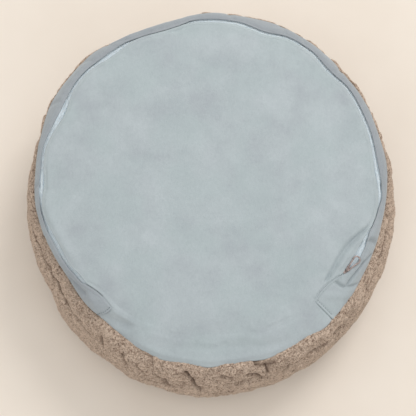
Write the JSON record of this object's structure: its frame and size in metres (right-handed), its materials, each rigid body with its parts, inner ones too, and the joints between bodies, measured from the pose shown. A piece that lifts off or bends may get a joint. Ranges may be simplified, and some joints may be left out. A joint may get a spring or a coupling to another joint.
{
  "type": "round pet cushion bed",
  "caption": "Round stuffed pet cushion with a curly pile side and face, a velvet base, and a curved zip whose slider and teardrop pull move.",
  "frame": {"origin": "centre of the flat sleeping face, on the surface that the bed lies on with its zipped base upwards", "axes": "+Z out of the zipped base; the facing strip's open quarter is towards -Y, and +X is to the right when the base is seen from above with -Y towards the viewer"},
  "size_m": [0.462, 0.462, 0.134],
  "materials": {
    "velvet": "short soft pile, brushed",
    "curly_pile": "curly matt pile",
    "zip_tape": "woven tape",
    "zip_coil": "satin nylon",
    "slider_metal": "polished plated alloy",
    "thread": "spun thread",
    "pile_thread": "spun thread",
    "case_cloth": "bonded cloth",
    "fibre": "loose fibre"
  },
  "bodies": {
    "cushion": {"base_panel": "velvet", "facing_strip": "velvet", "zip_tape_inner": "zip_tape", "zip_tape_outer": "zip_tape", "zip_coil_inner": "zip_coil", "zip_coil_outer": "zip_coil", "side_wall": "curly_pile", "sleeping_panel": "curly_pile", "base_edge_thread": "thread", "face_edge_thread": "pile_thread", "wall_closing_thread": "pile_thread", "zip_thread_inner": "thread", "zip_thread_outer": "thread", "strip_end_thread_left": "thread", "strip_end_thread_right": "thread", "closed_seam_thread": "thread", "inner_case_base": "case_cloth", "inner_case_band": "case_cloth", "inner_case_face": "case_cloth", "fibre_filling": "fibre"},
    "slider": {"slider_body": "slider_metal"},
    "pull": {"slider_pull": "slider_metal"}
  },
  "joints": [
    {"name": "zip_travel", "type": "hinge", "parent": "cushion", "child": "slider", "pos_m": [0, 0.009, 0.122], "axis": [0, 0, 1], "range_deg": [0, 256]},
    {"name": "pull_flip", "type": "hinge", "parent": "slider", "child": "pull", "pos_m": [0.1615, -0.10241, 0.12277], "axis": [0.7957, -0.5489, -0.2559], "range_deg": [0, 170]}
  ]
}
